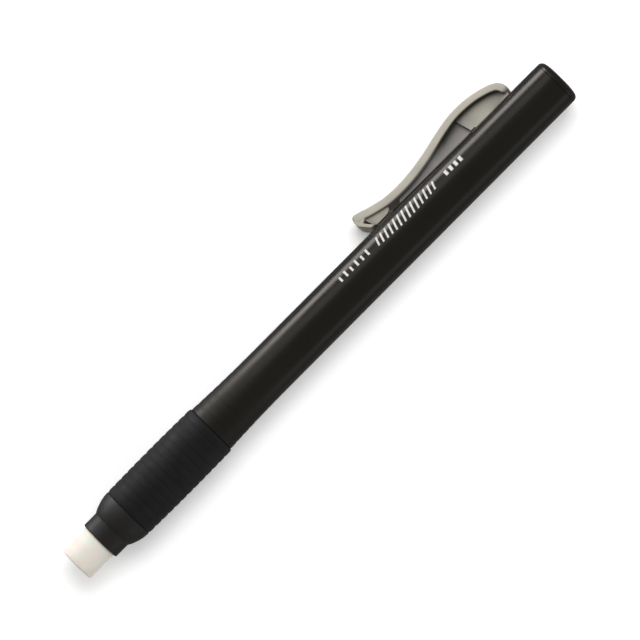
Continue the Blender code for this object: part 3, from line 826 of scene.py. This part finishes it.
@dataclass
class Slider:
    """What moves in the bore: carriage, jawed holder, cross pin and the clip's spring."""

    shop: Workshop
    pivot: Point
    stem: float = 2.0
    stem_length: float = 3.0
    waist: float = 3.2
    land: float = 5.0
    channel_half: float = 1.9
    channel_floor: float = -0.6
    channel_front: float = -20.0
    channel_rear: float = -9.9
    jaw_bore: float = 3.3
    jaw_slit: float = 0.7
    jaw_back: float = -43.15
    floor_x: float = -42.15
    pin_radius: float = 0.5
    pin_half: float = 2.59
    pin_chamfer: float = 0.1
    wire: float = 0.16
    coil: float = 0.85
    turns: float = 4.5
    coil_x: float = -11.4

    def build(self) -> None:
        """Make and dress the slider's pieces."""
        self.shop.dress(self.make_carriage(), GREY_SLIDER, "slider", "carriage_grey", "slider_carriage")
        self.shop.dress(self.make_holder(), WHITE_HOLDER, "slider", "holder_white", "eraser_holder")
        self.shop.dress(self.make_pin(), PIN_STEEL, "slider", "pin_steel", "clip_pin")
        spring = self.shop.dress(self.make_spring(), SPRING_STEEL, "slider", "spring_steel", "clip_spring")
        down = (self.shop.stand().to_3x3() @ Vector((0.0, 1.0, 0.0))).normalized()
        foot = self.shop.stand() @ Vector((self.coil_x, self.channel_floor, 0.0))
        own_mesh(spring)

    def make_carriage(self) -> Piece:
        """Turn the carriage and cut its channel, cross hole and moulding pockets."""
        span = Span.of("slider_carriage")
        radius = span.radius
        waist_front = span.front + self.land
        waist_back = self.channel_front - 2.5
        socket = self.stem + 0.05
        outline = rounded([
            (span.front + self.stem_length, 0.0, 0.0), (span.front + self.stem_length, socket, 0.0),
            (span.front, socket, 0.1), (span.front, radius, 0.25), (waist_front, radius, 0.15),
            (waist_front + 0.6, self.waist, 0.2), (waist_back - 0.6, self.waist, 0.2),
            (waist_back, radius, 0.15), (span.rear, radius, 0.25), (span.rear, 0.0, 0.0)], 4)
        body = self.shop.lathe("carriage_body", outline, 96)
        front, rear, floor = self.channel_front, self.channel_rear, self.channel_floor
        channel = self.shop.plate("channel", [(front, floor), (rear, floor), (rear, 5.0), (front, 5.0)],
                                  -self.channel_half, self.channel_half)
        hole = self.shop.plate("hole", arc(self.pivot, self.pin_radius + 0.05, 0, 345, 23), -5.0, 5.0)
        pockets = []
        for k in range(3):
            x = waist_front + 1.4 + 3.9 * k
            plan = rounded([(x, -1.9, 0.3), (x + 2.9, -1.9, 0.3), (x + 2.9, 1.9, 0.3), (x, 1.9, 0.3)], 4)
            pockets.append(self.shop.plate(f"pocket_{k}", plan, 1.2, 5.0))
        return self.shop.combine(body, [channel, hole] + pockets, Operation.CUT)

    def make_holder(self) -> Piece:
        """Turn the holder, with small barbs inside its jaws, and slit it into four."""
        span = Span.of("eraser_holder")
        front, rear, radius, bore = span.front, span.rear, span.radius, self.jaw_bore
        back = rear - self.stem_length
        outline: list[Point] = [(self.floor_x, 0.0), (self.floor_x, bore)]
        for k in range(3):
            x = front + 4.6 - 1.9 * k
            outline += [(x, bore), (x - 0.02, bore - 0.02), (x - 0.5, bore)]
        outline += [(front + 0.15, bore), (front, bore + 0.12), (front, radius - 0.2), (front + 0.35, radius),
                    (back - 0.15, radius), (back, radius - 0.15), (back, self.stem), (rear - 0.25, self.stem),
                    (rear, self.stem - 0.25), (rear, 0.0)]
        holder = self.shop.lathe("holder_jaws", outline, 96)
        half, ahead, end = self.jaw_slit / 2, front - 1.0, self.jaw_back
        flat = [(ahead, -6.0), (end, -6.0), (end, 6.0), (ahead, 6.0)]
        thin = rounded([(ahead, -half, 0.0), (end, -half, 0.3), (end, half, 0.3), (ahead, half, 0.0)], 5)
        slits = [self.shop.plate("slit_a", flat, -half, half), self.shop.plate("slit_b", thin, -6.0, 6.0)]
        return self.shop.combine(holder, slits, Operation.CUT)

    def make_pin(self) -> Piece:
        """Make the cross pin, chamfered at both ends."""
        half, chamfer, radius = self.pin_half, self.pin_chamfer, self.pin_radius
        ends = ((-half, radius - chamfer), (-half + chamfer, radius), (half - chamfer, radius),
                (half, radius - chamfer))
        rings = [[(x, y, z) for x, y in arc(self.pivot, r, 0, 352.5, 47)] for z, r in ends]
        return self.shop.loft("cross_pin", rings)

    def make_spring(self) -> Piece:
        """Wind the coil spring, with its end turns closed up."""
        low = self.channel_floor + 0.05 + self.wire
        high = 2.5 - 0.05 - self.wire
        steps = int(self.turns * 32)
        closed = 2 * self.wire * 1.15
        path: list[Vector] = []
        for i in range(steps + 1):
            turn = self.turns * i / steps
            climb = min(1.0, max(0.0, (turn - 0.75) / (self.turns - 1.5)))
            ends = min(turn, 0.75) + max(turn - self.turns + 0.75, 0.0)
            y = low + closed * ends + (high - low - 1.5 * closed) * climb
            angle = math.tau * turn
            path.append(Vector((self.coil_x + self.coil * math.cos(angle), y, self.coil * math.sin(angle))))
        sections = []
        for i, centre in enumerate(path):
            ahead = (path[min(i + 1, steps)] - path[max(i - 1, 0)]).normalized()
            out = Vector((centre.x - self.coil_x, 0.0, centre.z)).normalized()
            up = ahead.cross(out).normalized()
            turns = (math.tau * k / 12 for k in range(12))
            sections.append([centre + self.wire * (out * math.cos(a) + up * math.sin(a)) for a in turns])
        return self.shop.loft("press_spring", sections)


@dataclass
class PocketClip:
    """The clip: arm, lip and foot, web, neck, boss and pawl, moulded as one."""

    shop: Workshop
    pivot: Point
    surface: float
    tip_ahead: float = 27.62
    half_width: float = 2.1
    front_thick: float = 1.66
    rear_thick: float = 1.50
    edge: float = 0.30
    web_half: float = 1.0
    fin_half: float = 0.55
    fin_ahead: float = 19.4
    foot_half: float = 1.35
    lever_low: float = 2.5
    pawl_back: float = -10.2
    pitch: float = 1.2
    crest: float = 3.69
    tooth: float = 0.2
    wing_half: float = 1.6

    def build(self) -> None:
        """Join the clip's parts into one solid and dress it."""
        path = self._route()
        clip = self._arm(path)
        tools = [self._web(path), self._block(path), self._foot(), self._lip(), self._lever(), self._boss(),
                 self._pawl()]
        clip = self.shop.combine(clip, tools, Operation.JOIN)
        hole = self.shop.plate("pin_hole", arc(self.pivot, 0.55, 0, 345, 23), -4.0, 4.0)
        clip = self.shop.combine(clip, [hole], Operation.CUT)
        clip.name = "clip_moulding"
        finish = replace(SMOKE_CLIP, droop=self.shop.droop)
        self.shop.dress(clip, finish, "clip", "clip_smoke", "pocket_clip")

    def _route(self) -> list[Vector]:
        """Return the arm's centre line from its tip to its rear end."""
        tip = self.pivot[0] - self.tip_ahead
        rises = [(0.0, 3.60), (1.6, 3.24), (3.4, 2.62), (6.7, 1.80), (10.1, 1.60), (13.6, 1.82), (17.6, 2.50),
                 (21.7, 3.48), (25.9, 4.20), (30.1, 4.00), (33.2, 3.22), (34.85, 2.42), (35.5, 1.55),
                 (35.70, 0.50)]
        return smooth_path([(tip + x, self.surface + y) for x, y in rises], 14)

    def _arm(self, path: Sequence[Vector]) -> Piece:
        """Loft the arm: a slightly crowned strap with round edges, rounded in plan at both ends."""
        lengths = [0.0]
        for a, b in zip(path, path[1:]):
            lengths.append(lengths[-1] + (b - a).length)
        sections = []
        for i, centre in enumerate(path):
            ahead = path[min(i + 1, len(path) - 1)] - path[max(i - 1, 0)]
            normal = Vector((-ahead.y, ahead.x)).normalized()
            share = lengths[i] / lengths[-1]
            from_end = min(lengths[i], lengths[-1] - lengths[i])
            plan_round = 0.9 if share < 0.5 else 0.8
            plan = min(1.0, (from_end + 0.08) / plan_round)
            wide = self.half_width - plan_round * (1 - math.sqrt(1 - (1 - plan) ** 2))
            full = min(1.0, (from_end + 0.10) / 0.75)
            blend = min(1.0, max(0.0, 2 * share - 0.7))
            thick = self.front_thick + (self.rear_thick - self.front_thick) * blend
            thick *= 0.5 * math.sqrt(1 - (1 - full) ** 2)
            sections.append([Vector((centre.x + normal.x * v, centre.y + normal.y * v, z))
                             for z, v in self._strap(wide, thick)])
        return self.shop.loft("arm", sections)

    def _strap(self, wide: float, thick: float) -> list[Point]:
        """Return a section of the strap as (across, outward) points."""
        edge = min(self.edge, 0.8 * thick, 0.8 * wide)
        crown = 0.06 * thick
        across, out = wide - edge, thick - edge
        points: list[Point] = []
        for z, v, turn in ((across, out - crown, 0), (-across, out - crown, 90), (-across, -out, 180),
                           (across, -out, 270)):
            points += arc((z, v), edge, turn, turn + 90, 5)
            if turn == 0:
                points += [(across * k, thick - crown * k * k) for k in (0.5, 0.0, -0.5)]
        return points

    def _under(self, path: Sequence[Vector], start: float, end: float) -> list[Point]:
        """Return the arm's centre line between two stations."""
        return [(p.x, p.y) for p in path if start < p.x < end]

    def _web(self, path: Sequence[Vector]) -> Piece:
        """Return the thin fin under the front of the arm."""
        x = self.pivot[0]
        low = self.surface + 0.15
        fin = [(x - self.fin_ahead, low)] + self._under(path, x - self.fin_ahead + 1.0, x + 2.0)
        fin.append((x + 2.0, low))
        return self.shop.plate("fin", fin, -self.fin_half, self.fin_half)

    def _block(self, path: Sequence[Vector]) -> Piece:
        """Return the thick web with its slanted front, and the neck and heel that dip into the slot."""
        x = self.pivot[0]
        top = self._under(path, x - 2.6, x + 7.6)
        outline = top + [(x + 8.3, self.surface + 1.3), (x + 8.2, self.surface + 0.6), (x + 7.9, 4.25),
                         (x + 5.5, 4.25), (x + 5.5, 2.55), (x - 0.4, 2.55), (x - 0.4, self.surface + 0.15),
                         (x - 1.3, self.surface + 0.15)]
        return self.shop.plate("block", outline, -self.web_half, self.web_half)

    def _placed(self, name: str, corners: Sequence[Corner], half: float, bevel: float) -> Piece:
        """Make a softened plate from (x, y, round) off the pivot's station and the tube's surface."""
        outline = rounded([(self.pivot[0] + x, self.surface + y, r) for x, y, r in corners], 6)
        return self.shop.soften(self.shop.plate(name, outline, -half, half), bevel)

    def _foot(self) -> Piece:
        """Return the half-round foot that rests on the tube."""
        return self._placed("foot", [(-26.1, 2.6, 0.2), (-25.35, 0.1, 0.7), (-21.9, 0.1, 0.9),
                                     (-21.0, 1.55, 0.3), (-23.5, 2.2, 0.2)], self.foot_half, 0.18)

    def _lip(self) -> Piece:
        """Return the flared lip that slopes from the tip down to the tube."""
        corners = [(-25.6, 3.2, 0.2), (-26.9, 3.4, 0.3), (-27.74, 3.2, 0.3), (-27.62, 2.1, 0.5),
                   (-26.10, 0.16, 0.18), (-25.35, 0.16, 0.18), (-26.65, 1.85, 0.3), (-25.6, 2.4, 0.2)]
        return self._placed("lip", corners, self.half_width - 0.06, 0.25)

    def _lever(self) -> Piece:
        """Return the lever behind the pivot that the spring pushes."""
        x, y = self.pivot
        low = self.lever_low
        front = self.pawl_back - 2 * self.pitch
        outline = [(x, low - 0.4), (front, low), (self.pawl_back, low), (self.pawl_back, 3.55), (x, 3.55)]
        return self.shop.plate("lever", outline, 0.02 - self.web_half, self.web_half - 0.02)

    def _boss(self) -> Piece:
        """Return the round boss around the pin."""
        half = self.web_half - 0.01
        return self.shop.plate("boss", arc(self.pivot, 1.2, 0, 352.5, 47), -half, half)

    def _pawl(self) -> Piece:
        """Return the two pawl teeth, with wings that reach under the slot's edges."""
        points = teeth(self.pawl_back - 0.05, 2, self.pitch, self.crest, self.tooth, self.lever_low)
        return self.shop.plate("pawl", points, -self.wing_half, self.wing_half)


@dataclass
class Studio:
    """Pale floor, soft light and the camera over the pen."""

    floor_z: float
    centre_x: float = -60.7
    view_width_mm: float = 640 / 5.62
    pen_turn_deg: float = 45.13
    camera_height: float = 1.3
    room: float = 0.17

    def build(self) -> None:
        """Lay the floor, hang the lights and set the camera."""
        self._floor()
        self._world()
        self._lights()
        self._camera()

    def _floor(self) -> None:
        """Lay a large sheet of lit white paper that the gloss doesn't mirror."""
        bm = bmesh.new()
        bmesh.ops.create_grid(bm, x_segments=8, y_segments=8, size=3.0)
        mesh = bpy.data.meshes.new("floor")
        bm.to_mesh(mesh)
        bm.free()
        floor = bpy.data.objects.new("floor", mesh)
        floor.location.z = self.floor_z
        floor.visible_glossy = False
        floor.visible_shadow = False
        bpy.context.scene.collection.objects.link(floor)
        mesh.materials.append(STUDIO_WHITE.build())
        floor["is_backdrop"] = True

    def _world(self) -> None:
        """Fill the room with an even, dim light, and show tones as they are."""
        scene = bpy.context.scene
        scene.view_settings.view_transform = "Standard"
        world = bpy.data.worlds.new("room")
        scene.world = world
        world.use_nodes = True
        back = world.node_tree.nodes["Background"]
        back.inputs["Color"].default_value = (1.0, 0.995, 0.99, 1.0)
        back.inputs["Strength"].default_value = self.room

    def _area(self, name: str, aim: tuple[float, float, float], size: Point, radiance: float,
              glossy: bool) -> None:
        """Hang one soft light.

        Args:
            name: its name.
            aim: its height in degrees, its turn from the clip's side in degrees, and its distance.
            size: its width and height in metres.
            radiance: how bright its face is, where white paper in the room's light is about one.
            glossy: whether it shows in reflections.
        """
        height, turn, away = math.radians(aim[0]), math.radians(aim[1]), aim[2]
        place = away * Vector((math.cos(height) * math.sin(turn), math.cos(height) * math.cos(turn),
                               math.sin(height)))
        data = bpy.data.lights.new(name, "AREA")
        data.shape = "RECTANGLE"
        data.size, data.size_y = size
        data.energy = radiance * math.pi * size[0] * size[1]
        lamp = bpy.data.objects.new(name, data)
        lamp.location = Vector((self.centre_x * MM, 0.0, 0.0)) + place
        lamp.rotation_euler = (-place).to_track_quat("-Z", "Y").to_euler()
        lamp.visible_camera = False
        lamp.visible_glossy = glossy
        bpy.context.scene.collection.objects.link(lamp)

    def _lights(self) -> None:
        """Hang the key overhead, a soft side light, two low strips and a fill."""
        self._area("key", (58.0, 45.0, 1.1), (0.85, 0.75), 5.2, False)
        self._area("side", (42.0, 0.0, 1.0), (1.2, 0.55), 0.7, True)
        self._area("strip", (-2.0, 0.0, 0.9), (0.9, 0.34), 5.4, True)
        self._area("fill", (45.0, 150.0, 1.0), (1.6, 0.9), 1.08, False)
        self._area("counter", (8.0, 180.0, 0.9), (1.6, 0.36), 0.32, True)

    def _camera(self) -> None:
        """Look straight down, turned so that the pen rises to the upper right."""
        data = bpy.data.cameras.new("camera")
        data.sensor_width = 36.0
        data.lens = data.sensor_width * self.camera_height / (self.view_width_mm * MM)
        data.clip_end = 10.0
        camera = bpy.data.objects.new("camera", data)
        camera.location = (self.centre_x * MM, 0.0, self.camera_height)
        camera.rotation_euler = (0.0, 0.0, -math.radians(self.pen_turn_deg))
        bpy.context.scene.collection.objects.link(camera)
        bpy.context.scene.camera = camera


def main() -> None:
    """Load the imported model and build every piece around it."""
    logging.basicConfig(level=logging.INFO, format="%(name)s: %(message)s")
    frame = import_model()
    packed = [list(corner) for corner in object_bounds()]
    press = next(j for j in frame["joints"] if j["name"] == "clip_press")
    droop = math.atan2(-press["axis"][1], -press["axis"][2])
    shop = Workshop(droop)
    at = shop.stand().inverted() @ Vector(press["pos_m"])
    pivot = (at.x, at.y)
    BarrelAssembly(shop).build()
    EraserStick(shop).build()
    Slider(shop, pivot).build()
    PocketClip(shop, pivot, Span.of("tail_plug").radius).build()
    Studio(packed[0][2]).build()


if __name__ == "__main__":
    main()
